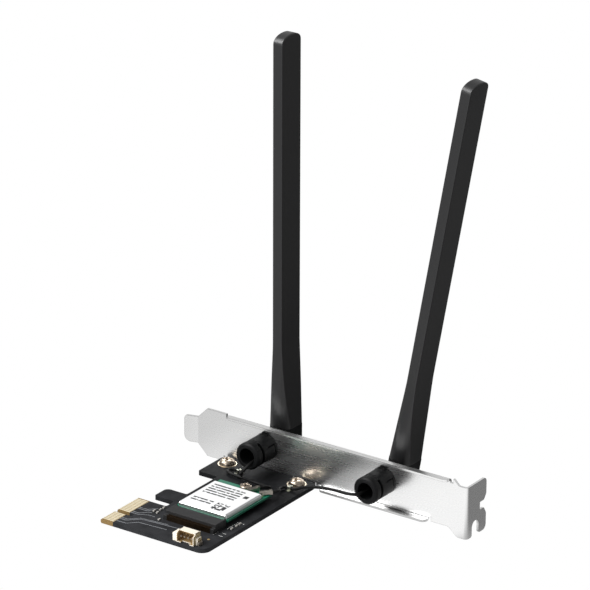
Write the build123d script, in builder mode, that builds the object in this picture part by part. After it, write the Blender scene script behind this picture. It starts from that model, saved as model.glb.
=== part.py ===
import os
from math import acos, cos, radians, sin, tan
from build123d import *

os.makedirs("parts", exist_ok=True)

# Slot bracket, folded from one sheet
bracket_length = 120.02
bracket_width = 18.42
sheet = 0.86
bend = 0.5
tongue_width = 10.19
tongue_length = 5.44
tongue_bend = 16.0
edge_to_tip = 13.27
key_to_bracket = 58.96
board_above_wall_edge = 0.39
lip_depth = 2.4
lip_corner = 1.9
relief = 1.2
relief_depth = 1.6
top_lip_inset = 19.27
top_lip_stop = 7.05
bottom_lip_stop = 15.95
lip_to_board = 1.54

# Screw tab at the end of the bracket
tab_reach = 12.2
tab_width = 19.5
tab_top_drop = 2.06
tab_neck = 4.0
align_notch_width = 2.9
align_notch_depth = 4.0
align_notch_drop = 8.1
screw_notch_width = 4.42
screw_notch_reach = 5.45
screw_notch_height = 5.6

# Ears that carry the board
ear_width = 9.0
ear_length = 9.6

# Main board
board_thickness = 1.6
finger_pitch = 1.0
finger_width = 0.7
finger_length = 5.1
far_fingers = 11
near_fingers = 7
key_width = 1.9
key_depth = 7.7
edge_margin = 0.65
slot_width = 4.8
hook_width = 7.3
hook_setback = 3.7
narrow_edge = 12.4
wide_edge = 3.9
wide_start = 42.9
board_right = 44.36
board_gap = 0.47
foil = 0.05

# Board screws in the ears
screw_x = (8.66, 38.76)
screw_inset = 4.86
screw_head = 5.7
screw_head_height = 1.95
screw_shank = 2.96
screw_bevel = 0.9

# Wireless module on its socket
module_width = 22.0
module_length = 30.0
module_thickness = 0.8
module_x = 28.6
module_back = 37.5
module_lift = 1.56
module_notch = 1.75
module_insert = 3.5
shield_width = 20.4
shield_length = 21.6
shield_height = 1.55
shield_skin = 0.2
label_margin = 0.55
socket_wall = 0.75
socket_depth = 7.4
socket_height = 3.0
socket_pitch = 0.5
socket_contacts_count = 37
socket_step = 1.3
socket_step_height = 1.7
contact_thickness = 0.2
module_shoulder = 1.05

# Cable header
header_width = 9.8
header_core = 7.2
header_core_shift = 0.45
header_depth = 4.2
header_height = 4.1
header_rail_height = 2.9
header_wall = 0.4
header_pitch = 1.5
header_pin_count = 4
header_pin = 0.5
header_tab = 0.7
header_x = 35.35

# Antenna joints
axis_height = 10.11
antenna_x = (22.1, 72.28)
antenna_lean = (0.0, 10.2)
hinge_reach = 12.3
barrel_reach = 11.6
bushing_radius = 4.9
shaft_radius = 3.95
bore_radius = 3.15
fit = 0.05
flange_radius = 6.2
flange_thickness = 1.08
latch_width = 2.4
latch_rise = 0.55
latch_slit = 0.4
collar_length = 2.6
collar_gap = 1.5
knuckle_radius = 5.0
knuckle_wall = 1.2
tongue_half = 2.2
tongue_radius = 3.0
hinge_play = 0.25
pin_radius = 1.5

# Antenna blade
antenna_length = 150.5
base_radius = 5.75
base_flat = 4.5
base_start = 4.4
blade_half = 1.97
blade_depth = 11.3
flat_run = 0.25 * antenna_length
crown_rise = 2.25
cavity_x = 2.2
cavity_y = 8.2
plug_length = 8.0
end_wall = 8.0

# Coax
coax_radius = 0.55

# Derived positions
x_tip = -edge_to_tip
x_end = x_tip + bracket_length
y_in = key_to_bracket
y_out = y_in + sheet
screw_y = y_in - screw_inset
wall_bottom = -board_above_wall_edge
wall_top = wall_bottom + bracket_width
wall_middle = (wall_top + wall_bottom) / 2
x_junction = x_tip + tongue_length
x_shoulder = x_junction + (bracket_width - tongue_width) / 2
tab_top = wall_top - tab_top_drop
tab_bottom = tab_top - tab_width
tab_edge = y_in + tab_reach
far_end = key_width / 2 + far_fingers * finger_pitch + edge_margin
near_end = -(key_width / 2 + near_fingers * finger_pitch + edge_margin)
hook_near = far_end + slot_width
hook_far = hook_near + hook_width
board_back = y_in - board_gap
hinge_y = y_in + hinge_reach
barrel_front = y_in - barrel_reach
module_bottom = board_thickness + module_lift
module_top = module_bottom + module_thickness
module_front = module_back - module_length
socket_mouth = module_front + module_insert
shield_back = module_back - 4.4
top_lip_start = x_tip + top_lip_inset
top_lip_end = x_end - top_lip_stop
bottom_lip_start = board_right + lip_to_board
bottom_lip_end = x_end - bottom_lip_stop
shield_front = shield_back - shield_length


def block(x, y, z, mode=Mode.ADD):
    """Box between pairs of limits along each axis."""
    with Locations(((x[0] + x[1]) / 2, (y[0] + y[1]) / 2, (z[0] + z[1]) / 2)):
        Box(x[1] - x[0], y[1] - y[0], z[1] - z[0], mode=mode)


def corners(sketch, *points):
    """Corners of a sketch that lie at the given points."""
    found = []
    for point in points:
        for vertex in sketch.vertices():
            if abs(vertex.X - point[0]) < 0.01 and abs(vertex.Y - point[1]) < 0.01:
                found.append(vertex)
    return found


def edges_near(part, axis, x=None, y=None, z=None):
    """Straight edges along an axis whose middle lies at the given coordinates."""
    found = []
    for edge in part.edges().filter_by(axis):
        middle = edge.center()
        wanted = ((middle.X, x), (middle.Y, y), (middle.Z, z))
        if all(limit is None or abs(value - limit) < 0.02 for value, limit in wanted):
            found.append(edge)
    return found


def save(part, name):
    part.label = name
    export_step(part, "parts/" + name + ".step")
    print(name, round(part.volume, 2))


# Slot bracket: wall, tongue, lips, screw tab and ears from one folded sheet
slope_start = x_end - 5.6
foot_start = x_end - 7.6
with BuildPart() as bracket:
    with BuildSketch(Plane.XZ.offset(-y_out)) as wall:
        with BuildLine():
            Polyline(
                (x_shoulder, wall_top),
                (slope_start, wall_top),
                (slope_start + tab_top_drop, tab_top),
                (x_end, tab_top),
                (x_end, tab_bottom),
                (x_end - tab_neck, tab_bottom),
                (foot_start, wall_bottom),
                (x_shoulder, wall_bottom),
                (x_junction, wall_middle - tongue_width / 2),
                (x_junction, wall_middle + tongue_width / 2),
                close=True,
            )
        make_face()
        fillet(corners(wall, (x_end - tab_neck, tab_bottom), (foot_start, wall_bottom)), 1.9)
        fillet(corners(wall, (slope_start, wall_top), (slope_start + tab_top_drop, tab_top)), 0.8)
    extrude(amount=sheet)
    turn = radians(tongue_bend)
    tongue_plane = Plane(
        origin=(x_junction, y_out, wall_middle),
        x_dir=(-cos(turn), -sin(turn), 0),
        z_dir=(-sin(turn), cos(turn), 0),
    )
    with BuildSketch(tongue_plane) as tongue:
        with Locations((tongue_length / 2, 0)):
            Rectangle(tongue_length, tongue_width)
        half_tongue = tongue_width / 2
        fillet(corners(tongue, (tongue_length, half_tongue)), 1.3)
        fillet(corners(tongue, (tongue_length, -half_tongue)), 2.6)
    extrude(amount=-sheet)
    with BuildSketch(Plane.YZ.offset(x_end)) as tab:
        notch_top = tab_top - align_notch_drop
        notch_low = notch_top - align_notch_width
        with BuildLine():
            Polyline(
                (y_in, tab_top),
                (tab_edge, tab_top),
                (tab_edge, notch_top + 2.0),
                (tab_edge - 1.4, notch_top),
                (tab_edge - align_notch_depth, notch_top),
                (tab_edge - align_notch_depth, notch_low),
                (tab_edge - 1.4, notch_low),
                (tab_edge, notch_low - 2.4),
                (tab_edge, tab_bottom),
                (y_in, tab_bottom),
                close=True,
            )
        make_face()
        fillet(corners(tab, (tab_edge, tab_top)), 1.6)
        fillet(corners(tab, (tab_edge, tab_bottom)), 1.9)
        fillet(corners(tab, (tab_edge - 1.4, notch_top), (tab_edge - 1.4, notch_low)), 0.9)
        fillet(corners(tab, (tab_edge, notch_top + 2.0), (tab_edge, notch_low - 2.4)), 0.9)
        screw_notch_y = y_in + screw_notch_reach
        screw_notch_centre = tab_bottom + screw_notch_height - screw_notch_width / 2
        with Locations((screw_notch_y, screw_notch_centre)):
            Circle(screw_notch_width / 2, mode=Mode.SUBTRACT)
        with Locations((screw_notch_y, (screw_notch_centre + tab_bottom) / 2)):
            Rectangle(screw_notch_width, screw_notch_centre - tab_bottom, mode=Mode.SUBTRACT)
        notch_side = screw_notch_width / 2
        mouth = [(screw_notch_y - notch_side, tab_bottom), (screw_notch_y + notch_side, tab_bottom)]
        fillet(corners(tab, *mouth), 0.8)
    extrude(amount=-sheet)
    lip_y = (y_in - lip_depth, y_out)
    block((top_lip_start, top_lip_end), lip_y, (wall_top - sheet, wall_top))
    block((bottom_lip_start, bottom_lip_end), lip_y, (wall_bottom, wall_bottom + sheet))
    ears = [(x - ear_width / 2, x + ear_width / 2) for x in screw_x]
    for ear in ears:
        block(ear, (y_out - ear_length, y_out), (-sheet, 0))
        block(ear, (y_in, y_out), (-sheet, sheet))
    through = (y_in - 0.5, y_out + 0.5)
    for start in (top_lip_start - relief, top_lip_end):
        block((start, start + relief), through, (wall_top - relief_depth, wall_top + 1), Mode.SUBTRACT)
    for start in (bottom_lip_start - relief, bottom_lip_end):
        block((start, start + relief), through, (wall_bottom - 1, wall_bottom + relief_depth), Mode.SUBTRACT)
    for ear in ears:
        for start in (ear[0] - relief / 2, ear[1]):
            block((start, start + relief / 2), through, (-1, relief_depth), Mode.SUBTRACT)
    top_lip_middle = (top_lip_start + top_lip_end) / 2
    fillet(edges_near(bracket, Axis.X, y=y_out, z=wall_top, x=top_lip_middle), sheet + bend)
    fillet(edges_near(bracket, Axis.X, y=y_in, z=wall_top - sheet), bend)
    lip_middle = (bottom_lip_start + bottom_lip_end) / 2
    fillet(edges_near(bracket, Axis.X, y=y_out, z=wall_bottom, x=lip_middle), sheet + bend)
    fillet(edges_near(bracket, Axis.X, y=y_in, z=wall_bottom + sheet), bend)
    fillet(edges_near(bracket, Axis.X, y=y_out, z=-sheet), sheet + bend)
    fillet(edges_near(bracket, Axis.X, y=y_in, z=0), board_gap - 0.1)
    fillet(edges_near(bracket, Axis.Z, x=x_end, y=y_in), sheet + bend)
    fillet(edges_near(bracket, Axis.Z, x=x_end - sheet, y=y_out), bend)
    lip_corners = edges_near(bracket, Axis.Z, y=y_in - lip_depth)
    fillet(lip_corners, lip_corner)
    fillet(edges_near(bracket, Axis.Z, y=y_out - ear_length), 2.0)
    with BuildSketch(Plane.XZ.offset(-y_out)):
        with Locations(*[(x, axis_height) for x in antenna_x]):
            Circle(bushing_radius + fit)
    extrude(amount=2 * sheet, mode=Mode.SUBTRACT)
    with BuildSketch(Plane.XY):
        with Locations(*[(x, screw_y) for x in screw_x]):
            Circle(screw_shank / 2 + fit)
    extrude(amount=-2 * sheet, mode=Mode.SUBTRACT)
save(bracket.part, "bracket")

# Main board with edge fingers, key notch and retention hook
with BuildPart() as main_board:
    with BuildSketch(Plane.XY) as outline:
        half_key = key_width / 2
        with BuildLine():
            Polyline(
                (0, near_end),
                (0, -half_key),
                (key_depth, -half_key),
                (key_depth, half_key),
                (0, half_key),
                (0, far_end),
                (narrow_edge, far_end),
                (narrow_edge, hook_near),
                (hook_setback, hook_near),
                (hook_setback, hook_far),
                (narrow_edge, hook_far),
                (narrow_edge, wide_start),
                (wide_edge, wide_start),
                (wide_edge, board_back),
                (board_right, board_back),
                (board_right, near_end),
                close=True,
            )
        make_face()
        fillet(corners(outline, (key_depth, -half_key), (key_depth, half_key)), half_key - 0.02)
        fillet(corners(outline, (narrow_edge, far_end), (narrow_edge, hook_near)), 0.8)
        fillet(corners(outline, (narrow_edge, hook_far), (narrow_edge, wide_start)), 0.8)
        fillet(corners(outline, (hook_setback, hook_near), (wide_edge, wide_start)), 0.8)
        fillet(corners(outline, (hook_setback, hook_far), (wide_edge, board_back)), 2.0)
        fillet(corners(outline, (board_right, board_back)), 2.5)
        fillet(corners(outline, (board_right, near_end)), 3.5)
        with Locations(*[(x, screw_y) for x in screw_x]):
            Circle(screw_shank / 2 + 2 * fit, mode=Mode.SUBTRACT)
    extrude(amount=board_thickness)
    mating = edges_near(main_board, Axis.Y, x=0, z=0) + edges_near(main_board, Axis.Y, x=0, z=board_thickness)
    chamfer(mating, 0.4)
save(main_board.part, "main_board")

# Gold edge contacts on both faces of the board
far_rows = [key_width / 2 + edge_margin + i * finger_pitch for i in range(far_fingers)]
near_rows = [-(key_width / 2 + edge_margin + i * finger_pitch) for i in range(near_fingers)]
levels = (-foil / 2, board_thickness + foil / 2)
finger_spots = [((0.5 + finger_length) / 2, row, level) for row in far_rows + near_rows for level in levels]
with BuildPart() as edge_contacts:
    with Locations(*finger_spots):
        Box(finger_length - 0.5, finger_width, foil)
save(edge_contacts.part, "edge_contacts")

# Pan head screws that hold the board to the ears
screw_end = -(sheet + 1.4)
head_top = board_thickness + screw_head_height
with BuildPart() as board_screws:
    for x in screw_x:
        with BuildSketch(Plane.XZ.offset(-screw_y)) as half_screw:
            with BuildLine():
                Polyline(
                    (x, screw_end),
                    (x + screw_shank / 2, screw_end),
                    (x + screw_shank / 2, board_thickness),
                    (x + screw_head / 2, board_thickness),
                    (x + screw_head / 2, head_top - screw_bevel),
                    (x + screw_head / 2 - screw_bevel, head_top),
                    (x, head_top),
                    close=True,
                )
            make_face()
        revolve(half_screw.sketch, axis=Axis((x, screw_y, 0), (0, 0, 1)))
save(board_screws.part, "board_screws")

# Socket that takes the module's edge
socket_top = board_thickness + socket_height
socket_front = socket_mouth - socket_depth
half_edge = module_width / 2 - module_shoulder
socket_x = (module_x - half_edge - socket_wall, module_x + half_edge + socket_wall)
middle_contact = (socket_contacts_count - 1) / 2
contact_columns = [module_x + (i - middle_contact) * socket_pitch for i in range(socket_contacts_count)]
with BuildPart() as m2_socket:
    step_back = socket_front + socket_step
    step_top = board_thickness + socket_step_height
    block(socket_x, (step_back, socket_mouth), (board_thickness, socket_top))
    block(socket_x, (socket_front, step_back), (board_thickness, step_top))
    slot_x = (module_x - half_edge - 0.05, module_x + half_edge + 0.05)
    slot_z = (module_bottom - 0.02, module_top + 0.02)
    block(slot_x, (module_front - 0.1, socket_mouth + 1), slot_z, Mode.SUBTRACT)
    block(slot_x, (socket_mouth - 0.9, socket_mouth + 1), (module_top + 0.02, socket_top + 1), Mode.SUBTRACT)
save(m2_socket.part, "m2_socket")

# Socket contacts: each runs out over the step and down its front to the board
with BuildPart() as m2_socket_contacts:
    with BuildSketch(Plane.YZ.offset(module_x)):
        with BuildLine():
            Polyline(
                (socket_front - contact_thickness, board_thickness),
                (socket_front, board_thickness),
                (socket_front, step_top),
                (step_back, step_top),
                (step_back, step_top + contact_thickness),
                (socket_front - contact_thickness, step_top + contact_thickness),
                close=True,
            )
        make_face()
    extrude(amount=socket_pitch / 4, both=True)
    tail = m2_socket_contacts.part
    others = [x for x in contact_columns if abs(x - module_x) > 0.01]
    with Locations(*[(x - module_x, 0, 0) for x in others]):
        add(tail)
save(m2_socket_contacts.part, "m2_socket_contacts")

# Wireless module board with its narrower edge in the socket and a half hole for the screw
with BuildPart() as wifi_module_board:
    with BuildSketch(Plane.XY.offset(module_bottom)) as module_outline:
        half_module = module_width / 2
        with BuildLine():
            Polyline(
                (module_x - half_module, module_back),
                (module_x - half_module, socket_mouth + 0.4),
                (module_x - half_edge, socket_mouth + 0.4),
                (module_x - half_edge, module_front),
                (module_x + half_edge, module_front),
                (module_x + half_edge, socket_mouth + 0.4),
                (module_x + half_module, socket_mouth + 0.4),
                (module_x + half_module, module_back),
                close=True,
            )
        make_face()
        with Locations((module_x, module_back)):
            Circle(module_notch, mode=Mode.SUBTRACT)
        with Locations((module_x + 5.6, module_front)):
            Rectangle(1.2, 2 * module_insert, mode=Mode.SUBTRACT)
    extrude(amount=module_thickness)
save(wifi_module_board.part, "wifi_module_board")

# Standoff and screw at the back of the module
standoff_across = 4.6
module_shank = 1.0
module_head = 2.2
with BuildPart() as module_standoff:
    with BuildSketch(Plane.XY.offset(board_thickness)):
        with Locations((module_x, module_back)):
            RegularPolygon(standoff_across / 2, 6, major_radius=False)
            Circle(module_shank + 0.02, mode=Mode.SUBTRACT)
    extrude(amount=module_lift)
save(module_standoff.part, "module_standoff")

with BuildPart() as module_screw:
    with BuildSketch(Plane.XZ.offset(-module_back)):
        with BuildLine():
            Polyline(
                (module_x, board_thickness + 0.1),
                (module_x + module_shank, board_thickness + 0.1),
                (module_x + module_shank, module_top),
                (module_x + module_head, module_top),
                (module_x + module_head, module_top + 0.55),
                (module_x + module_head - 0.5, module_top + 1.0),
                (module_x, module_top + 1.0),
                close=True,
            )
        make_face()
    revolve(axis=Axis((module_x, module_back, 0), (0, 0, 1)))
save(module_screw.part, "module_screw")

# Radio chip under the shield, shield can and its label
with BuildPart() as radio_chip:
    chip_y = (shield_front + shield_back) / 2
    block((module_x - 4.5, module_x + 4.5), (chip_y - 4.5, chip_y + 4.5), (module_top, module_top + 0.9))
save(radio_chip.part, "radio_chip")

shield_top = module_top + shield_height
with BuildPart() as wifi_module_shield:
    shield_x = (module_x - shield_width / 2, module_x + shield_width / 2)
    block(shield_x, (shield_front, shield_back), (module_top, shield_top))
    upright = []
    for x in shield_x:
        upright += edges_near(wifi_module_shield, Axis.Z, x=x)
    fillet(upright, 0.7)
    chamfer(wifi_module_shield.faces().sort_by(Axis.Z)[-1].edges(), 0.3)
    inner_x = (shield_x[0] + shield_skin, shield_x[1] - shield_skin)
    inner_y = (shield_front + shield_skin, shield_back - shield_skin)
    block(inner_x, inner_y, (module_top - 1, shield_top - shield_skin), Mode.SUBTRACT)
save(wifi_module_shield.part, "wifi_module_shield")

with BuildPart() as module_label:
    with BuildSketch(Plane.XY.offset(shield_top)):
        with Locations((module_x, (shield_front + shield_back) / 2)):
            Rectangle(shield_width - 2 * label_margin, shield_length - 2 * label_margin)
    extrude(amount=0.08)
save(module_label.part, "module_label")

# Side-entry cable header at the front of the board: a tall core between two lower rails
header_front = near_end + 0.4
header_back = header_front + header_depth
rail_x = (header_x - header_width / 2, header_x + header_width / 2)
core_middle = header_x + header_core_shift
core_x = (core_middle - header_core / 2, core_middle + header_core / 2)
header_top = board_thickness + header_height
pin_level = board_thickness + header_height / 2
pin_columns = [core_middle + (i - (header_pin_count - 1) / 2) * header_pitch for i in range(header_pin_count)]
with BuildPart() as header_housing:
    block(rail_x, (header_front, header_back), (board_thickness, board_thickness + header_rail_height))
    block(core_x, (header_front, header_back), (board_thickness, header_top))
    chamfer(edges_near(header_housing, Axis.Y, z=board_thickness + header_rail_height, x=rail_x[0]), 0.5)
    chamfer(edges_near(header_housing, Axis.Y, z=board_thickness + header_rail_height, x=rail_x[1]), 0.5)
    mouth_x = (core_x[0] + header_wall, core_x[1] - header_wall)
    mouth_z = (board_thickness + header_wall, header_top - header_wall)
    block(mouth_x, (header_front - 1, header_back - 1.0), mouth_z, Mode.SUBTRACT)
    key_x = (core_middle - header_core / 4, core_middle + header_core / 4)
    block(key_x, (header_front - 1, header_front + 1.2), (0, mouth_z[0]), Mode.SUBTRACT)
    hole = header_pin + 0.04
    with Locations(*[(column, header_back, pin_level) for column in pin_columns]):
        Box(hole, header_depth, hole, mode=Mode.SUBTRACT)
    chamfer(edges_near(header_housing, Axis.X, y=header_back, z=header_top), 0.5)
save(header_housing.part, "header_housing")

# Header pins: straight inside the mouth, bent down to the board behind it
with BuildPart() as header_pins:
    half_pin = header_pin / 2
    for column in pin_columns:
        bar = (column - half_pin, column + half_pin)
        block(bar, (header_front + 0.9, header_back + 0.4), (pin_level - half_pin, pin_level + half_pin))
        block(bar, (header_back, header_back + 0.4), (board_thickness, pin_level + half_pin))
        block(bar, (header_back, header_back + 1.4), (board_thickness, board_thickness + 0.3))
save(header_pins.part, "header_pins")

with BuildPart() as header_solder_tabs:
    for start in (rail_x[0] - header_tab, rail_x[1]):
        tab_y = (header_front + 1.2, header_front + 3.2)
        block((start, start + header_tab), tab_y, (board_thickness, board_thickness + 1.4))
save(header_solder_tabs.part, "header_solder_tabs")

# Small chip capacitors on the board
capacitor_spots = (
    (11.5, 6.9), (13.3, 6.4), (12.8, 8.8), (12.8, 10.7), (17.2, 2.2), (42.0, 10.6), (42.0, 13.4), (42.0, 15.4)
)
chip_size = (0.55, 1.1, 0.5)
with BuildPart() as chip_capacitors:
    with Locations(*[(x, y, board_thickness + chip_size[2] / 2) for x, y in capacitor_spots]):
        Box(*chip_size)
save(chip_capacitors.part, "chip_capacitors")

# Coax receptacles on the module and the plugs pressed on them
plug_spots = ((32.4, 34.8), (37.3, 35.1))
plug_tails = ((34.1, 37.9), (39.7, 37.9))
tail_level = module_top + 0.88
receptacle = 1.9
plug_radius = 1.1
plug_height = 1.0
with BuildPart() as coax_receptacles:
    for x, y in plug_spots:
        with Locations((x, y, module_top + 0.125)):
            Box(receptacle, receptacle, 0.25)
save(coax_receptacles.part, "coax_receptacles")

for side, spot, tail in zip(("left", "right"), plug_spots, plug_tails):
    way = Vector(tail[0] - spot[0], tail[1] - spot[1], 0)
    tail_plane = Plane(origin=(spot[0], spot[1], tail_level), x_dir=(-way.Y, way.X, 0), z_dir=way)
    with BuildPart() as coax_plug:
        with BuildSketch(Plane.XY.offset(module_top + 0.25)):
            with Locations(spot):
                Circle(plug_radius)
        extrude(amount=plug_height)
        with BuildSketch(tail_plane):
            Rectangle(1.7, 0.92)
        extrude(amount=way.length - 1.0)
        with BuildSketch(tail_plane.offset(way.length - 1.0)):
            Rectangle(2 * coax_radius + 0.4, 2 * coax_radius + 0.3)
            Circle(coax_radius + 0.02, mode=Mode.SUBTRACT)
        extrude(amount=1.0)
    save(coax_plug.part, side + "_coax_plug")

# Clips that hold the pigtails down on the board
clip_spots = ((17.15, 49.4), (39.88, 48.43))
clip_turns = (142.0, 177.0)
clip_skin = 0.22
clip_foot = 0.8
clip_length = 1.4
clip_play = 0.03
coax_level = board_thickness + clip_skin + coax_radius + clip_play
with BuildPart() as cable_clips:
    for spot, turn in zip(clip_spots, clip_turns):
        way = Vector(cos(radians(turn)), sin(radians(turn)), 0)
        clip_plane = Plane(origin=(spot[0], spot[1], board_thickness), x_dir=(-way.Y, way.X, 0), z_dir=way)
        inside = coax_radius + clip_play
        clip_height = 2 * inside + 2 * clip_skin
        with BuildSketch(clip_plane):
            with Locations((0, clip_skin / 2)):
                Rectangle(2 * inside + 2 * clip_skin + 2 * clip_foot, clip_skin)
            for hand in (-1, 1):
                with Locations((hand * (inside + clip_skin / 2), clip_height / 2)):
                    Rectangle(clip_skin, clip_height)
                with Locations((hand * (inside - 0.15), clip_height - clip_skin / 2)):
                    Rectangle(0.5, clip_skin)
        extrude(amount=clip_length / 2, both=True)
save(cable_clips.part, "cable_clips")


def soft_radii(points):
    """Largest arcs that fit at the corners of a route, each using less than half of its shorter run."""
    radii = []
    for a, b, c in zip(points, points[1:], points[2:]):
        before = Vector(*b) - Vector(*a)
        after = Vector(*c) - Vector(*b)
        turn = acos(max(-1, min(1, before.normalized().dot(after.normalized()))))
        run = 0.47 * min(before.length, after.length)
        radii.append(min(40.0, run / tan(turn / 2)) if turn > 0.001 else 0)
    return radii


# Coax pigtails, from inside the swivel bores over their clips to the plugs
left_bore = (antenna_x[0], axis_height)
right_bore = (antenna_x[1], axis_height)
free = hinge_y - base_radius - hinge_play - knuckle_wall - 0.2
left_route = [
    (left_bore[0], free, left_bore[1]),
    (left_bore[0], barrel_front + 5.0, left_bore[1]),
    (left_bore[0] + 1.5, barrel_front - 2.6, left_bore[1] - 0.6),
    (left_bore[0] - 0.2, barrel_front - 4.0, left_bore[1] - 4.8),
    (clip_spots[0][0] + 2.05, clip_spots[0][1] - 1.6, coax_level),
    (clip_spots[0][0] - 1.59, clip_spots[0][1] + 1.245, coax_level),
    (clip_spots[0][0] - 3.99, clip_spots[0][1] - 0.31, coax_level),
    (clip_spots[0][0] - 3.30, clip_spots[0][1] - 3.08, coax_level),
    (clip_spots[0][0] + 5.9, clip_spots[0][1] - 3.7, coax_level),
    (clip_spots[0][0] + 13.0, clip_spots[0][1] - 4.6, coax_level),
    (clip_spots[0][0] + 18.4, clip_spots[0][1] - 6.4, coax_level + 0.9),
    (plug_tails[0][0] + 1.5, plug_tails[0][1] + 2.7, tail_level),
    (plug_tails[0][0], plug_tails[0][1], tail_level),
]
right_route = [
    (right_bore[0], free, right_bore[1]),
    (right_bore[0], barrel_front + 5.0, right_bore[1]),
    (right_bore[0] - 1.3, barrel_front - 1.8, right_bore[1] - 0.9),
    (right_bore[0] - 6.0, barrel_front - 2.6, right_bore[1] - 1.4),
    (right_bore[0] - 11.5, barrel_front - 1.4, right_bore[1] - 2.0),
    (right_bore[0] - 19.5, barrel_front - 0.2, right_bore[1] - 3.4),
    (right_bore[0] - 26.8, barrel_front + 0.7, right_bore[1] - 5.7),
    (clip_spots[1][0] + 2.2, clip_spots[1][1] - 0.115, coax_level),
    (clip_spots[1][0] - 2.5, clip_spots[1][1] + 0.13, coax_level),
    (clip_spots[1][0] - 2.3, clip_spots[1][1] - 4.4, coax_level + 0.6),
    (clip_spots[1][0] + 1.3, clip_spots[1][1] - 7.6, tail_level - 0.2),
    (plug_tails[1][0], plug_tails[1][1], tail_level),
]
for side, route in (("left", left_route), ("right", right_route)):
    radii = soft_radii(route)
    print(side, "pigtail radii", [round(r, 2) for r in radii])
    with BuildPart() as pigtail:
        with BuildLine() as path:
            FilletPolyline(*route, radius=radii)
        with BuildSketch(Plane(origin=path.line @ 0, z_dir=path.line % 0)):
            RegularPolygon(coax_radius, 8)
        sweep(path=path.line)
    save(pigtail.part, side + "_pigtail")


def cross_plane(frame, y):
    """Plane across the shaft at a distance from the hinge, with its first axis along the pin."""
    return Plane(origin=frame.origin + Vector(0, y, 0), x_dir=frame.x_dir, z_dir=(0, -1, 0))


def side_plane(frame, x):
    """Plane square to the pin: first axis outward, second up the antenna."""
    return Plane(origin=frame.origin + frame.x_dir * x, x_dir=(0, 1, 0), z_dir=frame.x_dir)


def ring(x, inner, outer, start, end):
    """Ring about the shaft axis between two distances along it."""
    with BuildSketch(Plane.XZ.offset(-end)) as disc:
        with Locations((x, axis_height)):
            Circle(outer)
            Circle(inner, mode=Mode.SUBTRACT)
    extrude(disc.sketch, amount=end - start)


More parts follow.
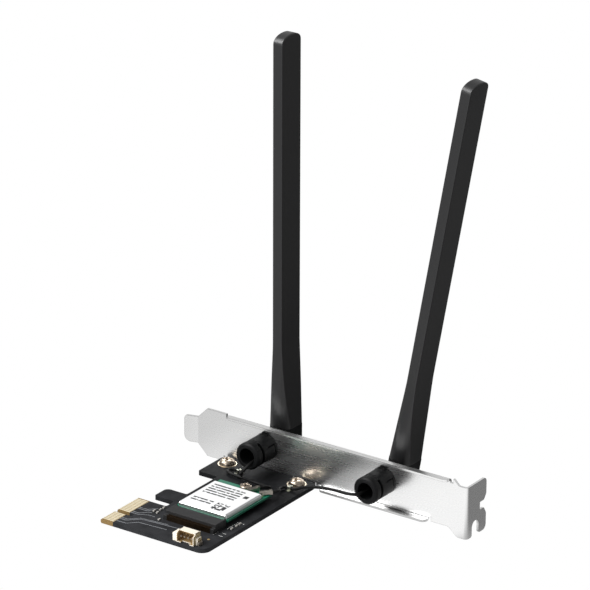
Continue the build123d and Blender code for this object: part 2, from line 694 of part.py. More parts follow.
bushing_end = barrel_front + collar_length + collar_gap
knuckle_start = y_out + flange_thickness + 0.1
knuckle_end = hinge_y - base_radius - hinge_play
ear_gap = tongue_half + 0.1
for side, x, lean in zip(("left", "right"), antenna_x, antenna_lean):
    angle = radians(lean)
    frame = Plane(
        origin=(x, hinge_y, axis_height), x_dir=(cos(angle), 0, -sin(angle)), z_dir=(sin(angle), 0, cos(angle))
    )

    # Bushing fixed in the bracket: flange outside, sleeve inside, two snap teeth, a latch window each side
    with BuildPart() as bushing:
        ring(x, shaft_radius + fit, bushing_radius, bushing_end, y_out)
        ring(x, shaft_radius + fit, flange_radius, y_out, y_out + flange_thickness)
        rim = bushing.edges().filter_by(GeomType.CIRCLE).group_by(Axis.Y)[-1].sort_by(SortBy.RADIUS)[-1]
        chamfer(rim, 0.5)
        for up in (1, -1):
            with BuildSketch(Plane.YZ.offset(x)):
                with BuildLine():
                    Polyline(
                        (y_in - 0.1, axis_height + up * (bushing_radius - 0.4)),
                        (y_in - 0.1, axis_height + up * (bushing_radius + latch_rise)),
                        (y_in - 0.6, axis_height + up * (bushing_radius + latch_rise)),
                        (y_in - 3.0, axis_height + up * (bushing_radius - 0.4)),
                        close=True,
                    )
                make_face()
            extrude(amount=latch_width / 2, both=True)
        for hand in (-1, 1):
            level = axis_height + 2.0
            upper = sorted((x + hand * (shaft_radius - 0.1), x + hand * (bushing_radius + 1)))
            lower = sorted((x + hand * (shaft_radius + 0.35), x + hand * (bushing_radius + 1)))
            block(upper, (y_in - 5.0, y_in - 1.0), (level, level + latch_slit), Mode.SUBTRACT)
            block(lower, (y_in - 1.0 - latch_slit, y_in - 1.0), (level - 2.6, level), Mode.SUBTRACT)
        stop = (bushing_end - collar_gap + 0.2, bushing_end)
        with BuildSketch(Plane.XZ.offset(-stop[1])):
            with Locations((x, axis_height)):
                Circle(bushing_radius)
                Circle(shaft_radius + fit, mode=Mode.SUBTRACT)
            with Locations((x, axis_height - 5)):
                Rectangle(3.0, 6.0, mode=Mode.INTERSECT)
        extrude(amount=stop[1] - stop[0])
    save(bushing.part, side + "_bushing")

    # Swivel: hollow shaft through the bushing, round knuckle and hinge tongue outside
    with BuildPart() as swivel:
        ring(x, bore_radius, shaft_radius, barrel_front, knuckle_start)
        ring(x, bore_radius, knuckle_radius, knuckle_start, knuckle_end - knuckle_wall)
        with BuildSketch(cross_plane(frame, knuckle_end - hinge_y)):
            Circle(knuckle_radius)
        extrude(amount=knuckle_wall)
        with BuildSketch(side_plane(frame, 0)):
            Circle(tongue_radius)
            with Locations(((knuckle_end - hinge_y) / 2, 0)):
                Rectangle(hinge_y - knuckle_end, 2 * tongue_radius)
            Circle(pin_radius + fit, mode=Mode.SUBTRACT)
        extrude(amount=tongue_half, both=True)
    save(swivel.part, side + "_swivel")

    # Lock collar on the inner end of the shaft, with a stop lug in the gap
    with BuildPart() as lock_collar:
        collar_end = barrel_front + collar_length
        ring(x, shaft_radius + 0.02, bushing_radius + 0.1, barrel_front, collar_end)
        lip = lock_collar.edges().filter_by(GeomType.CIRCLE).group_by(Axis.Y)[0].sort_by(SortBy.RADIUS)[-1]
        chamfer(lip, 0.6)
        with BuildSketch(cross_plane(frame, collar_end + collar_gap - 0.2 - hinge_y)):
            Circle(bushing_radius)
            Circle(shaft_radius + fit, mode=Mode.SUBTRACT)
            with Locations((0, 5)):
                Rectangle(4.4, 6.0, mode=Mode.INTERSECT)
        extrude(amount=collar_gap - 0.2)
    save(lock_collar.part, side + "_lock_collar")

    # Hinge pin through the fork and the tongue
    with BuildPart() as hinge_pin:
        with BuildSketch(side_plane(frame, 0)):
            Circle(pin_radius)
        extrude(amount=base_flat - 0.1, both=True)
    save(hinge_pin.part, side + "_hinge_pin")

    # Fork at the foot of the antenna: round under the hinge, slotted for the tongue, plugged into the sleeve
    with BuildPart() as hinge_fork:
        with BuildSketch(frame.offset(-base_radius)):
            Circle(base_radius)
        extrude(amount=base_radius + base_start)
        with BuildSketch(side_plane(frame, 0)):
            Circle(base_radius)
            with Locations((0, base_start / 2)):
                Rectangle(2 * base_radius, base_start)
        extrude(amount=base_flat, both=True, mode=Mode.INTERSECT)
        slot_top = tongue_radius + hinge_play
        with BuildSketch(side_plane(frame, 0)):
            with Locations((0, (slot_top - base_radius - 1) / 2)):
                Rectangle(2 * base_radius + 2, slot_top + base_radius + 1)
        extrude(amount=ear_gap, both=True, mode=Mode.SUBTRACT)
        with BuildSketch(side_plane(frame, 0)):
            Circle(pin_radius + 0.02)
        extrude(amount=base_flat + 1, both=True, mode=Mode.SUBTRACT)
        with BuildSketch(frame.offset(base_start)):
            Rectangle(cavity_x - 0.04, cavity_y - 0.04)
        extrude(amount=plug_length)
    save(hinge_fork.part, side + "_hinge_fork")

    # Antenna sleeve: a round rod with two flats that run out towards the foot, and an arched top
    with BuildPart() as antenna_sleeve:
        rod_radius = blade_depth / 2 + 0.65
        with BuildSketch(cross_plane(frame, 0)):
            with BuildLine():
                Polyline(
                    (0, base_start),
                    (base_radius, base_start),
                    (base_radius, 0.3 * flat_run),
                    (rod_radius, flat_run),
                    (rod_radius, antenna_length + 2),
                    (0, antenna_length + 2),
                    close=True,
                )
            make_face()
        revolve(axis=Axis(frame.origin, frame.z_dir))
        with BuildSketch(cross_plane(frame, 0)):
            with BuildLine():
                Spline(
                    (base_flat, base_start),
                    (0.66 * base_flat + 0.34 * blade_half, 0.35 * flat_run),
                    (0.36 * base_flat + 0.64 * blade_half, 0.59 * flat_run),
                    (0.08 * base_flat + 0.92 * blade_half, 0.8 * flat_run),
                    (blade_half, flat_run),
                    tangents=((-0.09, 1), (0, 1)),
                )
                Polyline(
                    (blade_half, flat_run),
                    (blade_half, antenna_length + 3),
                    (0, antenna_length + 3),
                    (0, base_start),
                    (base_flat, base_start),
                )
            make_face()
            mirror(about=Plane.YZ)
        extrude(amount=2 * base_radius, both=True, mode=Mode.INTERSECT)
        with BuildSketch(side_plane(frame, 0)):
            with Locations((0, (base_start + antenna_length - crown_rise) / 2)):
                Rectangle(blade_depth, antenna_length - crown_rise - base_start)
            with Locations((0, antenna_length - crown_rise)):
                Ellipse(blade_depth / 2, crown_rise)
        extrude(amount=2 * base_radius, both=True, mode=Mode.INTERSECT)
        with BuildSketch(frame.offset(base_start)):
            Rectangle(cavity_x, cavity_y)
        extrude(amount=antenna_length - base_start - end_wall, mode=Mode.SUBTRACT)
    save(antenna_sleeve.part, side + "_antenna_sleeve")

    # Radiator board standing on the plug inside the sleeve
    with BuildPart() as radiator:
        with BuildSketch(frame.offset(base_start + plug_length)):
            Rectangle(0.8, cavity_y - 0.04)
        extrude(amount=antenna_length - base_start - plug_length - 1.5 * end_wall)
    save(radiator.part, side + "_radiator")
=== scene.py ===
import math

import bmesh
import bpy
import numpy as np
from mathutils import Matrix, Vector


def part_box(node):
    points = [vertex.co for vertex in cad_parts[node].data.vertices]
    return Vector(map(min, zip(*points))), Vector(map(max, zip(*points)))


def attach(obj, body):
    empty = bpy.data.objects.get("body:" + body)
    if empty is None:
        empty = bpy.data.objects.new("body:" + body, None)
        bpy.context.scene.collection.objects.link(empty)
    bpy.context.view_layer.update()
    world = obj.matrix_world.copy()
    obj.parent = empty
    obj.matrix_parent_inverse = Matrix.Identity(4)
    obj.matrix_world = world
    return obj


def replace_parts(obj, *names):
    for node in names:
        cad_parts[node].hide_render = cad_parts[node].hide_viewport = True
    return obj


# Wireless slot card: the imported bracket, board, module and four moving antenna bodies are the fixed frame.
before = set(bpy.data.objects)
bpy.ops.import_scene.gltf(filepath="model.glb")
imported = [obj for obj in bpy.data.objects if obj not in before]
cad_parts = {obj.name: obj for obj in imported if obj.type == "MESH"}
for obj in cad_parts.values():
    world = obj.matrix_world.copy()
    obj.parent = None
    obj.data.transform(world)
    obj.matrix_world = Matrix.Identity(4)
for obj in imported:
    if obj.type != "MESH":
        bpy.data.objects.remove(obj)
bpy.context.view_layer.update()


# Slot bracket: one strip of steel, punched, folded and plated with bright nickel.
# Rolling leaves faint lines along the strip, and the plating dulls a little in slow clouds.
# Two ears bent from its lower edge carry the board.
class Value:
    """One socket of a node tree. Arithmetic on it adds Math nodes, so that a finish reads as a formula."""

    def __init__(self, tree, socket=None):
        self.tree = tree
        self.socket = socket

    def fill(self, node, sockets):
        """Set a node's sockets to numbers and colours, or link them to other values."""
        for name, value in sockets.items():
            if isinstance(value, Value):
                self.tree.links.new(value.socket, node.inputs[name])
            else:
                node.inputs[name].default_value = value

    def node(self, kind, settings, sockets, output=0):
        """One node of this kind: its settings first, then its sockets. Gives back one of its outputs."""
        made = self.tree.nodes.new("ShaderNode" + kind)
        for name, setting in settings.items():
            setattr(made, name, setting)
        self.fill(made, sockets)
        return Value(self.tree, made.outputs[output])

    def maths(self, operation, first, second=0.0):
        return self.node("Math", {"operation": operation}, {0: first, 1: second})

    def __add__(self, other):
        return self.maths("ADD", self, other)

    def __radd__(self, other):
        return self.maths("ADD", other, self)

    def __sub__(self, other):
        return self.maths("SUBTRACT", self, other)

    def __rsub__(self, other):
        return self.maths("SUBTRACT", other, self)

    def __mul__(self, other):
        return self.maths("MULTIPLY", self, other)

    def __rmul__(self, other):
        return self.maths("MULTIPLY", other, self)

    def __truediv__(self, other):
        return self.maths("DIVIDE", self, other)

    def __rtruediv__(self, other):
        return self.maths("DIVIDE", other, self)

    def __or__(self, other):
        return self.maths("MAXIMUM", self, other)

    def __ror__(self, other):
        return self.maths("MAXIMUM", other, self)

    def above(self, limit, soft):
        """0 below the limit and 1 above it, over a smooth step of that width."""
        sockets = {"Value": self, "From Min": limit - soft / 2, "From Max": limit + soft / 2}
        return self.node("MapRange", {"interpolation_type": "SMOOTHSTEP"}, sockets)

    def within(self, low, high, soft):
        """1 between two limits and 0 outside them."""
        return self.above(low, soft) * (1.0 - self.above(high, soft))

    def noise(self, waves, detail=3.0, stretch=(1.0, 1.0, 1.0)):
        """Noise over this vector, with so many waves to the metre along each stretched axis."""
        spread = self.node("Mapping", {}, {"Vector": self, "Scale": stretch})
        return self.node("TexNoise", {}, {"Vector": spread, "Scale": waves, "Detail": detail})

    def blend(self, low, high):
        """The colour between two others by this value."""
        return self.node("Mix", {"data_type": "RGBA"}, {0: self, 6: low, 7: high}, 2)

    def rounded(self, radius):
        """The normal as it would be with every sharp edge rounded by a radius in metres."""
        return self.node("Bevel", {"samples": 6}, {"Radius": radius})

    def bump(self, depth, strength, edge=None):
        """The normal of a surface with this height, its depth in metres, over edges rounded by that much."""
        sockets = {"Height": self, "Distance": depth, "Strength": strength}
        if edge:
            sockets["Normal"] = self.rounded(edge)
        return self.node("Bump", {}, sockets)


def finish(name, *nodes):
    """A new material on these CAD nodes: material, shader, place in the frame, and x, y, z in millimetres."""
    material = bpy.data.materials.new(name)
    material.use_nodes = True
    for node in nodes:
        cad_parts[node].data.materials.clear()
        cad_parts[node].data.materials.append(material)
    place = Value(material.node_tree).node("TexCoord", {}, {}, "Object")
    axes = [place.node("SeparateXYZ", {}, {0: place}, axis) * 1000.0 for axis in "XYZ"]
    return material, material.node_tree.nodes["Principled BSDF"], place, *axes


edge_radius = 0.00035
lip_span = (45.9, 90.8)
lip_top = 1.1
fold_span = (58.2, 59.1)
wall_face = 58.4
nickel, shader, place, x, y, z = finish("polished_nickel", "bracket")
rolled = place.noise(900.0, 2.0, (0.06, 1.0, 1.0))
cloud = place.noise(60.0)
plate = cloud.blend((0.90, 0.90, 0.90, 1.0), (0.94, 0.94, 0.935, 1.0))
# Painted shade: sharp edges, the inner bend of the lower fold and the lip's top are painted darker grey, so
# that they show against the pale reflections.
surface = place.node("NewGeometry", {}, {}, "Normal")
rounded_normal = place.rounded(edge_radius)
facing = place.node("VectorMath", {"operation": "DOT_PRODUCT"}, {0: rounded_normal, 1: surface}, "Value")
painted_edge_shade = (1.0 - facing).above(0.05, 0.08)
lip_run = x.within(*lip_span, 0.6) * (1.0 - z.above(lip_top, 0.3))
painted_fold_shade = lip_run * y.within(*fold_span, 0.2)
painted_lip_shade = lip_run * (1.0 - y.above(wall_face, 0.2))
place.fill(shader, {
    "Base Color": (0.6 * painted_edge_shade | 0.8 * painted_fold_shade | 0.5 * painted_lip_shade).blend(plate, (0.18, 0.18, 0.18, 1.0)),
    "Metallic": 1.0,
    "Roughness": 0.24 + 0.07 * rolled,
    "Normal": rolled.bump(0.00001, 0.03),
})

# Main board: glass laminate under a matte black solder mask, bare where the edge contacts sit.
# Tinned rings surround both screw holes, painted dark inside as painted shade under the heads, and one gold
# test pad lies near the header.
# The mask's tone drifts slowly, with a very fine orange peel, and is painted darker towards the back as
# painted shade.
screw_rings = ((8.66, 54.1), (38.76, 54.1))
ring_radius = 3.45
ring_inside = 3.15
test_pad = (40.22, -0.52)
test_pad_radius = 0.5
pad_blur = 0.08
contact_zone = (5.25, 12.7)
board_top = 1.6
mask, shader, place, x, y, z = finish("black_solder_mask", "main_board")


def disc(across, along, spot, radius):
    """1 inside a circle about a spot: the distance sqrt(dx^2 + dy^2) is under the radius."""
    far = across - spot[0]
    deep = along - spot[1]
    square = far * far + deep * deep
    return 1.0 - square.maths("SQRT", square).above(radius, pad_blur)


upper = z.above(board_top - 0.05, 0.02)
pad = (disc(x, y, screw_rings[0], ring_radius) | disc(x, y, screw_rings[1], ring_radius)) * upper
# Painted shade: inside each ring the tin is painted mostly dark, under the screw head.
painted_ring_shade = disc(x, y, screw_rings[0], ring_inside) | disc(x, y, screw_rings[1], ring_inside)
tinned = pad * (1.0 - 0.75 * painted_ring_shade)
gilt = disc(x, y, test_pad, test_pad_radius) * upper
bare = (1.0 - x.above(contact_zone[0], 0.1)) * (1.0 - y.above(contact_zone[1], 0.1))
drift = place.noise(220.0)
# Painted shade: the mask is painted darker towards the back, by the bracket.
deep = y.above(24.0, 36.0)
coated = (drift * (1.0 - 0.8 * deep)).blend((0.004, 0.0043, 0.0048, 1.0), (0.045, 0.046, 0.050, 1.0))
laminate = bare.blend(coated, (0.22, 0.145, 0.06, 1.0))
plain = tinned.blend(laminate, (0.66, 0.57, 0.44, 1.0))
place.fill(shader, {
    "Base Color": gilt.blend(plain, (0.80, 0.58, 0.26, 1.0)),
    "Metallic": tinned | gilt,
    "Roughness": 0.5 + 0.1 * drift - 0.22 * (tinned | gilt),
    "Specular IOR Level": 0.05,
    "Normal": place.noise(4000.0, 2.0).bump(0.00001, 0.15),
})


# Tracks and legend: copper lines that lift the mask a little, and a few dashes of pale legend ink.
# The tracks run from the edge contacts to the socket and the header.
def strip(points, width, base, height):
    """A low ridge along a bent line: p(s) + n(s) w a, z = base + height b, with n the mitred normal."""
    line = np.array(points, float)
    step = np.diff(line, axis=0)
    normal = np.stack([-step[:, 1], step[:, 0]], 1) / np.linalg.norm(step, axis=1)[:, None]
    mitre = np.vstack([normal[:1], normal[:-1] + normal[1:], normal[-1:]])
    mitre /= np.linalg.norm(mitre, axis=1)[:, None]
    mitre[1:-1] /= np.sum(mitre[1:-1] * normal[1:], axis=1)[:, None]
    across = np.array([-0.5, -0.36, 0.36, 0.5])
    rise = np.array([0.0, 1.0, 1.0, 0.0])
    flat = line[:, None, :] + mitre[:, None, :] * (width * across)[None, :, None]
    level = np.broadcast_to(base + height * rise, flat.shape[:2])
    return np.concatenate([flat, level[:, :, None]], 2)


def piece(name, grids, body, material):
    """One object from grids of points in millimetres, each joined into quads along its rows and columns."""
    points, quads, start = [], [], 0
    for grid in grids:
        rows, columns = grid.shape[:2]
        index = start + np.arange(rows * columns).reshape(rows, columns)
        corners = (index[:-1, :-1], index[1:, :-1], index[1:, 1:], index[:-1, 1:])
        quads.append(np.stack(corners, -1).reshape(-1, 4))
        points.append(grid.reshape(-1, 3) / 1000.0)
        start += rows * columns
    mesh = bpy.data.meshes.new(name)
    mesh.from_pydata(np.concatenate(points).tolist(), [], np.concatenate(quads).tolist())
    shell = bmesh.new()
    shell.from_mesh(mesh)
    bmesh.ops.remove_doubles(shell, verts=shell.verts, dist=0.000002)
    shell.to_mesh(mesh)
    shell.free()
    mesh.shade_smooth()
    mesh.set_sharp_from_angle(angle=math.radians(40))
    mesh.materials.append(material)
    made = bpy.data.objects.new(name, mesh)
    bpy.context.scene.collection.objects.link(made)
    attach(made, body)
    return made


tracks = (
    ((5.3, -4.5), (8.0, -4.5), (11.6, -0.9), (16.4, -0.4), (27.6, 0.6)),
    ((5.3, -3.5), (7.8, -3.5), (11.0, -0.3), (16.2, 0.3), (22.0, 0.9)),
    ((5.3, -6.5), (9.4, -6.5), (12.4, -3.4), (24.0, -2.6)),
    ((5.3, 1.7), (8.4, 1.7), (12.0, 3.4), (14.4, 3.4)),
    ((5.3, 2.7), (8.0, 2.7), (10.6, 5.2), (11.6, 5.6)),
    ((5.3, 5.7), (9.0, 5.7), (11.2, 7.9)),
    ((5.3, 6.7), (8.6, 6.7), (11.4, 9.4)),
)
track_width = 0.3
track_rise = 0.03
sunk = 0.005
covered, shader, place, x, y, z = finish("mask_over_copper")
place.fill(shader, {
    "Base Color": place.noise(400.0).blend((0.14, 0.147, 0.16, 1.0), (0.25, 0.26, 0.28, 1.0)),
    "Roughness": 0.38,
})
ridges = [strip(track, track_width, board_top - sunk, track_rise) for track in tracks]
piece("board_tracks", ridges, "card", covered)
dashes = (
    ((39.3, 3.4), (39.3, 6.3)),
    ((41.2, 4.0), (42.8, 4.0)),
    ((41.2, 6.2), (42.8, 6.2)),
    ((40.6, 9.6), (40.6, 16.2)),
    ((40.6, 16.2), (43.2, 16.2)),
)
dash_width = 0.22
dash_rise = 0.02
ink, shader, place, x, y, z = finish("legend_ink")
place.fill(shader, {
    "Base Color": place.noise(2500.0).blend((0.48, 0.48, 0.47, 1.0), (0.72, 0.72, 0.70, 1.0)),
    "Roughness": 0.6,
})
marks = [strip(dash, dash_width, board_top - sunk, dash_rise) for dash in dashes]
piece("legend_dashes", marks, "card", ink)


# Edge contacts: flat copper fingers on both faces of the board, flashed with gold.
# Each plated metal of the card has a fine brushed grain, so that a flat face isn't one even tone.
def plated(name, dark, light, roughness, *nodes):
    """A metal between two tints along a brushed grain, a little rougher where it is lighter."""
    material, shader, place, x, y, z = finish(name, *nodes)
    brushed = place.noise(3000.0, 3.0, (0.15, 1.0, 1.0))
    place.fill(shader, {
        "Base Color": brushed.blend((*dark, 1.0), (*light, 1.0)),
        "Metallic": 1.0,
        "Roughness": roughness + 0.1 * brushed,
        "Normal": brushed.bump(0.00001, 0.1),
    })
    return material


plated("gold_flash", (0.97, 0.86, 0.60), (1.0, 0.94, 0.76), 0.44, "edge_contacts")


# Screws: two pan heads hold the board to the ears, a flatter one holds the module on its standoff.
# They are steel, nickel plated to a warm silver, with a driven cross recess in the head.
def recessed_screw(spot, low, seat, top, head, shank):
    """A turned screw z(r) with its head (r/R)^3 + (z/h)^3 = 1, less a cross of depth d(x, y) in its top."""
    start, twist = 0.5, 0.4
    arm_half, arm_blur, arm_reach, reach_blur, recess = 0.16, 0.05, 0.56, 0.10, 0.45
    crown = np.concatenate([np.linspace(0.0, 0.66, 24), np.linspace(0.7, 1.0, 10)]) * head
    radius = np.concatenate([crown, [head, shank, shank, 0.0]])
    dome = seat + (top - seat) * np.clip(1.0 - (crown / head) ** 3, 0.0, 1.0) ** (1.0 / 3.0)
    height = np.concatenate([dome, [seat, seat, low, low]])
    turn = np.linspace(0.0, 2.0 * np.pi, 97)
    across = radius[:, None] * np.cos(turn + start)
    along = radius[:, None] * np.sin(turn + start)
    narrow = np.minimum(np.abs(across), np.abs(along))
    wide = np.maximum(np.abs(across), np.abs(along))
    arm = np.clip((arm_half * head - narrow) / (arm_blur * head) + 0.5, 0.0, 1.0)
    reach = np.clip((arm_reach * head - wide) / (reach_blur * head) + 0.5, 0.0, 1.0)
    level = np.broadcast_to(height[:, None], across.shape) - recess * (top - seat) * arm * reach
    x_place = spot[0] + np.cos(twist) * across - np.sin(twist) * along
    y_place = spot[1] + np.sin(twist) * across + np.cos(twist) * along
    return np.stack([x_place, y_place, level], 2)


screw_metal = plated("nickel_screw", (0.21, 0.17, 0.135), (0.44, 0.38, 0.31), 0.2)
low, high = (np.array(corner) * 1000.0 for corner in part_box("board_screws"))
head_radius = (high[1] - low[1]) / 2
shank_radius = 1.48
board_heads = [
    recessed_screw(spot, low[2], board_top, high[2], head_radius, shank_radius) for spot in screw_rings
]
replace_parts(piece("board_screw_pair", board_heads, "card", screw_metal), "board_screws")
low, high = (np.array(corner) * 1000.0 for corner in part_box("module_screw"))
module_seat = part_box("wifi_module_board")[1][2] * 1000.0
module_shank = 0.95
centre = (low + high) / 2
module_head = recessed_screw(centre, low[2], module_seat, high[2], (high[0] - low[0]) / 2, module_shank)
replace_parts(piece("recessed_module_screw", [module_head], "card", screw_metal), "module_screw")


# Module socket: a black moulded housing soldered to the board, with a row of sprung bronze contacts.
# Its top is dull from the mould, and the contacts come out at the front as close thin feet.
def moulded(name, colour, roughness, grain, gloss, *nodes):
    """A black moulding whose colour drifts slowly, with so many waves of spark-eroded pits to the metre."""
    material, shader, place, x, y, z = finish(name, *nodes)
    pits = place.noise(grain, 4.0)
    darker = (*colour, 1.0)
    lighter = (*(1.35 * tone for tone in colour), 1.0)
    place.fill(shader, {
        "Base Color": place.noise(40.0).blend(darker, lighter),
        "Roughness": roughness + 0.08 * pits,
        "Specular IOR Level": gloss,
        "Normal": pits.bump(0.00001, 0.25, 0.0003),
    })
    return material


moulded("socket_black", (0.015, 0.015, 0.0155), 0.5, 2600.0, 0.25, "m2_socket", "radio_chip")
plated("socket_bronze", (0.04, 0.025, 0.013), (0.10, 0.062, 0.032), 0.4, "m2_socket_contacts")

# Wireless module: a small green board, held in the socket at one end and by a screw at the other.
# The screw goes into a tinned standoff. The mask is glossy over a faint glass weave, with darker cut edges.
# The radiators inside the antennas have the same mask.
green_boards = ("wifi_module_board", "left_radiator", "right_radiator")
green, shader, place, x, y, z = finish("green_solder_mask", *green_boards)
weave = place.noise(500.0)
cut = z.within(3.2, 3.9, 0.08)
face = weave.blend((0.004, 0.125, 0.070, 1.0), (0.007, 0.165, 0.094, 1.0))
place.fill(shader, {
    "Base Color": cut.blend(face, (0.006, 0.085, 0.05, 1.0)),
    "Roughness": 0.34 + 0.1 * weave,
    "Specular IOR Level": 0.35,
})
plated("tinned_copper", (0.62, 0.60, 0.56), (0.78, 0.76, 0.72), 0.28, "module_standoff")

# Shield can: a drawn lid of nickel silver, pressed over the radio chip on the module.
# Its walls show under the edge of the label.
plated("shield_metal", (0.50, 0.51, 0.51), (0.62, 0.62, 0.62), 0.36, "wifi_module_shield")

# Module label: white film stuck on the can, with rows of dark dashes and one block of cells for its print.
# Nothing in the print is a letter, a mark or a code.
label_low, label_high = (np.array(corner) * 1000.0 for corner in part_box("module_label"))
paper, shader, place, x, y, z = finish("label_film", "module_label")
across = x - float(label_low[0])
along = y - float(label_low[1])
cell = place.node("VectorMath", {"operation": "SNAP"}, {0: place, 1: (0.0006, 0.0006, 1.0)})
speck = place.node("TexWhiteNoise", {"noise_dimensions": "3D"}, {"Vector": cell})
pitch = along / 1.75
rows = pitch.maths("FRACT", pitch).within(0.18, 0.66, 0.08)
lines = across.within(1.4, 14.8, 0.1) * along.within(10.5, 18.9, 0.1)
short_lines = across.within(1.4, 10.0, 0.1) * along.within(3.5, 7.0, 0.1)
cells = across.within(11.6, 16.8, 0.1) * along.within(1.2, 6.6, 0.1) * speck.above(0.46, 0.05)
solid = across.within(16.2, 18.0, 0.1) * along.within(14.2, 16.2, 0.1)
text = rows * (lines | short_lines) * speck.above(0.16, 0.08)
place.fill(shader, {
    "Base Color": (text | cells | solid).blend((0.82, 0.825, 0.83, 1.0), (0.03, 0.03, 0.033, 1.0)),
    "Roughness": 0.5,
    "Specular IOR Level": 0.3,
})

# Cable header: an ivory nylon housing with a side mouth, four tinned pins and two tabs soldered to the board.
# The mouth is open at the front and for a little way along its roof, where the plug's ribs slide in.
# The inside of the mouth and the faces turned to +x are painted brown, darker than the roof, as painted
# shade.
def prism(outline, low, high):
    """A flat outline (y, z), listed clockwise, carried along x from low to high, with a fan over each end."""
    ring = np.array([*outline, outline[0]])
    hub = np.broadcast_to(ring[:-1].mean(0), ring.shape)
    rows = np.stack([hub, ring, ring, hub])
    reach = np.broadcast_to(np.array([low, low, high, high])[:, None], rows.shape[:2])
    return np.concatenate([reach[..., None], rows], 2)


def block(along, across, up):
    """A square prism between two limits on each axis."""
    (near, far), (under, over) = across, up
    return prism([(near, under), (near, over), (far, over), (far, under)], *along)


corners = [[edge * 1000.0 for edge in corner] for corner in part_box("header_housing")]
(left_end, mouth_front, header_seat), (right_end, header_back, header_roof) = corners
left_rail, right_rail = 1.75, 0.85
back_wall, roof_setback, roof_slope, roof_inset = 1.0, 1.4, 1.0, 0.3
header_skin, rail_height, rail_drop, rail_sink = 0.4, 2.9, 0.3, 0.2
left_rail_inset, right_rail_inset = 0.3, 0.5
key_inset, key_depth = 1.8, 1.2
overlap, hair, seam = 0.02, 0.01, 0.1
core_left, core_right = left_end + left_rail, right_end - right_rail
mouth_back = header_back - back_wall
roof_front = mouth_front + roof_setback
side_wall = [
    (mouth_front, header_seat),
    (mouth_front, header_roof - roof_slope),
    (roof_front, header_roof),
    (header_back - overlap, header_roof),
    (header_back - overlap, header_seat),
]
rail_top = header_seat + rail_height
key_left, key_right = core_left + key_inset, core_right - key_inset
core = (core_left + overlap, core_right - overlap)
floor_run = (mouth_front + hair, mouth_back + seam)
key_run = (mouth_front + key_depth, mouth_back + seam + overlap)
floor_level = (header_seat + hair, header_seat + header_skin)
left_run = (mouth_front + left_rail_inset, header_back - seam)
right_run = (roof_front, header_back - right_rail_inset)
housing = [
    block(core, (mouth_back, header_back), (header_seat, header_roof - overlap)),
    block(core, (roof_front, header_back - roof_inset), (header_roof - header_skin, header_roof)),
    prism(side_wall, core_left, core_left + header_skin),
    prism(side_wall, core_right - header_skin, core_right),
    block((core_left + seam, key_left), floor_run, floor_level),
    block((key_right, core_right - seam), floor_run, floor_level),
    block((key_left - seam, key_right + seam), key_run, floor_level),
    block((left_end, core_left + rail_sink), left_run, (header_seat, rail_top)),
    block((core_right - rail_sink, right_end), right_run, (header_seat, rail_top - rail_drop)),
]
ivory, shader, place, x, y, z = finish("ivory_nylon", "header_housing")
mouth_inset, mouth_floor, mouth_blur = 0.2, 0.35, 0.1
# Painted shade: the inside of the mouth and the faces turned to +x are painted brown.
between = x.within(core_left + mouth_inset, core_right - mouth_inset, mouth_blur)
inner = between * z.within(header_seat + mouth_floor, header_roof - mouth_inset, mouth_blur)
painted_mouth_shade = inner * y.within(mouth_front - mouth_inset, mouth_back + seam, mouth_blur)
outward = place.node("NewGeometry", {}, {}, "Normal")
painted_side_shade = place.node("SeparateXYZ", {}, {0: outward}, "X").above(0.7, 0.2)
shell_tone = place.noise(300.0).blend((0.80, 0.73, 0.62, 1.0), (0.88, 0.82, 0.71, 1.0))
shaded_side_tone = painted_side_shade.blend(shell_tone, (0.36, 0.29, 0.16, 1.0))
place.fill(shader, {
    "Base Color": painted_mouth_shade.blend(shaded_side_tone, (0.30, 0.20, 0.09, 1.0)),
    "Roughness": 0.5,
    "Specular IOR Level": 0.3,
})
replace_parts(piece("open_header_housing", housing, "card", ivory), "header_housing")
plated("header_tin", (0.30, 0.26, 0.21), (0.46, 0.41, 0.35), 0.34, "header_pins", "header_solder_tabs")

# Chip capacitors: small ceramic blocks with silvered ends.
# They are soldered flat to the board among the tracks.
ceramic, shader, place, x, y, z = finish("silvered_ceramic", "chip_capacitors")
mottle = place.noise(1500.0)
place.fill(shader, {
    "Base Color": mottle.blend((0.34, 0.32, 0.29, 1.0), (0.58, 0.56, 0.53, 1.0)),
    "Metallic": 0.5 * mottle,
    "Roughness": 0.4,
})

# Coax connectors: small receptacles soldered to the module and flashed with gold.
# The plated plugs are pressed down on them, each crimped round the end of its pigtail.
plated("plug_plating", (0.28, 0.26, 0.225), (0.44, 0.41, 0.36), 0.28, "left_coax_plug", "right_coax_plug")
plated("receptacle_gold", (0.70, 0.54, 0.28), (0.82, 0.66, 0.38), 0.3, "coax_receptacles")

# Swivel joints: black nylon bushings snapped into the bracket, hollow shafts that turn in them,
# lock collars at the front, and the hinge pieces that the antennas tilt on.
joint_parts = ("_bushing", "_swivel", "_lock_collar", "_hinge_fork")
joints = [side + part for side in ("left", "right") for part in joint_parts]
moulded("joint_black", (0.0045, 0.0047, 0.005), 0.4, 3000.0, 0.1, *joints)
plated("blackened_pin", (0.02, 0.02, 0.021), (0.035, 0.035, 0.036), 0.35, "left_hinge_pin", "right_hinge_pin")

# Antennas: a black sleeve moulded round each radiator, round at its foot and a flat blade above,
# with soft edges and an arched top. The skin is finely grained.
left_joint, right_joint = 22.1, 72.28
right_lean = 10.2
hinge_back = 71.26
hinge_height = 10.11
foot_height = 4.4
flat_end = 37.63
sleeve_top = 150.5
foot_radius = 5.75
rod_radius = 6.3
foot_half = 4.5
blade_half = 1.97
blade_reach = 5.65
arch_rise = 3.0
rim = 0.5
softness = 30.0
taper_power = 1.45
rod_start = 0.3
blade_step = 3.0
last_row = 140.0


